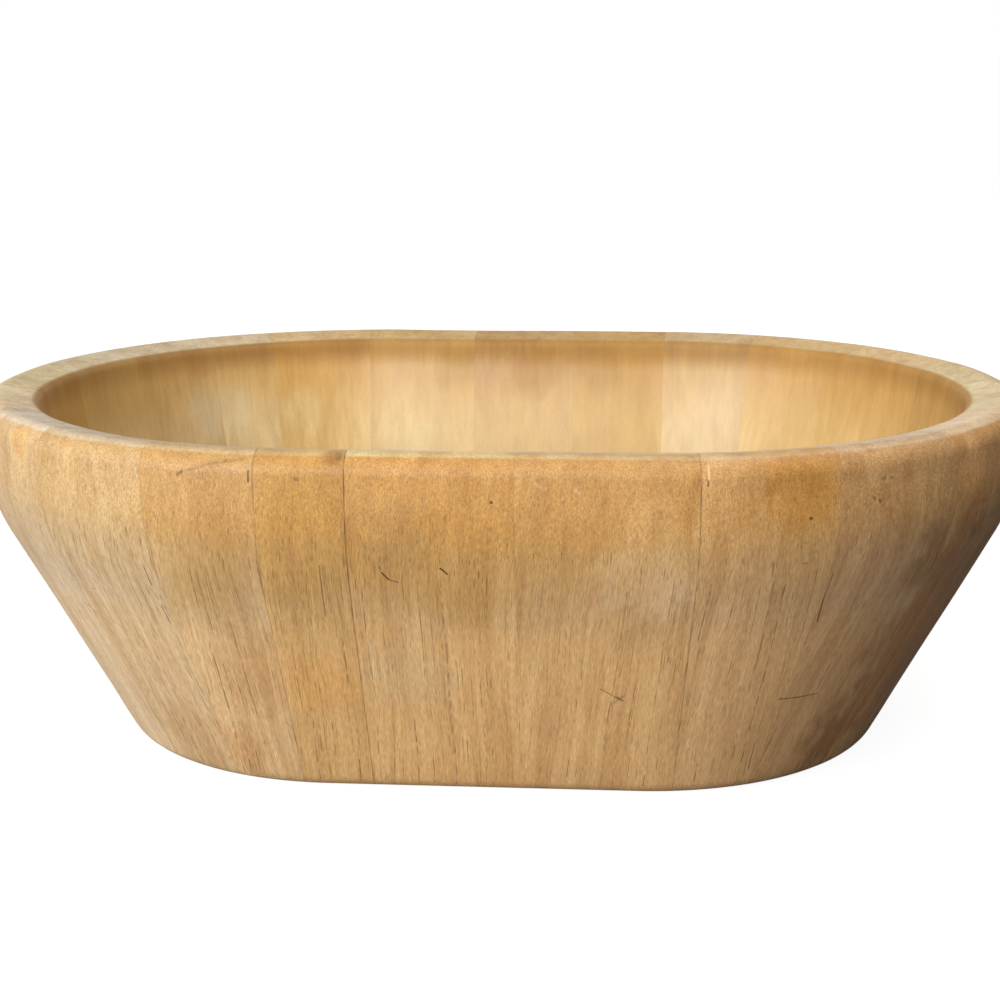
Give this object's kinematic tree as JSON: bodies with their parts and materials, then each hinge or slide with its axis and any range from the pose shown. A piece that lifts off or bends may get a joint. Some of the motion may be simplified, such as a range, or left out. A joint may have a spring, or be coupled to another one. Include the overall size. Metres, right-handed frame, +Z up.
{
  "type": "dough bowl",
  "caption": "Oblong wooden dough bowl with leaning staved walls, a thick rim and a flat base; holds dough, bread or fruit.",
  "frame": {"origin": "middle of the base, on the surface that the bowl stands on", "axes": "+X along the bowl's length to the right, +Y towards its back, +Z up"},
  "size_m": [0.4, 0.288, 0.135],
  "materials": {
    "stave_wood": "satin oiled",
    "base_wood": "satin oiled"
  },
  "bodies": {
    "root": {"back_stave_1": "stave_wood", "back_stave_2": "stave_wood", "base_board_back": "base_wood", "base_board_front": "base_wood", "base_board_middle": "base_wood", "front_stave_1": "stave_wood", "front_stave_2": "stave_wood", "left_stave_1": "stave_wood", "left_stave_10": "stave_wood", "left_stave_2": "stave_wood", "left_stave_3": "stave_wood", "left_stave_4": "stave_wood", "left_stave_5": "stave_wood", "left_stave_6": "stave_wood", "left_stave_7": "stave_wood", "left_stave_8": "stave_wood", "left_stave_9": "stave_wood", "right_stave_1": "stave_wood", "right_stave_2": "stave_wood", "right_stave_3": "stave_wood", "right_stave_4": "stave_wood", "right_stave_5": "stave_wood", "right_stave_6": "stave_wood", "right_stave_7": "stave_wood", "right_stave_8": "stave_wood", "right_stave_9": "stave_wood"}
  },
  "joints": []
}
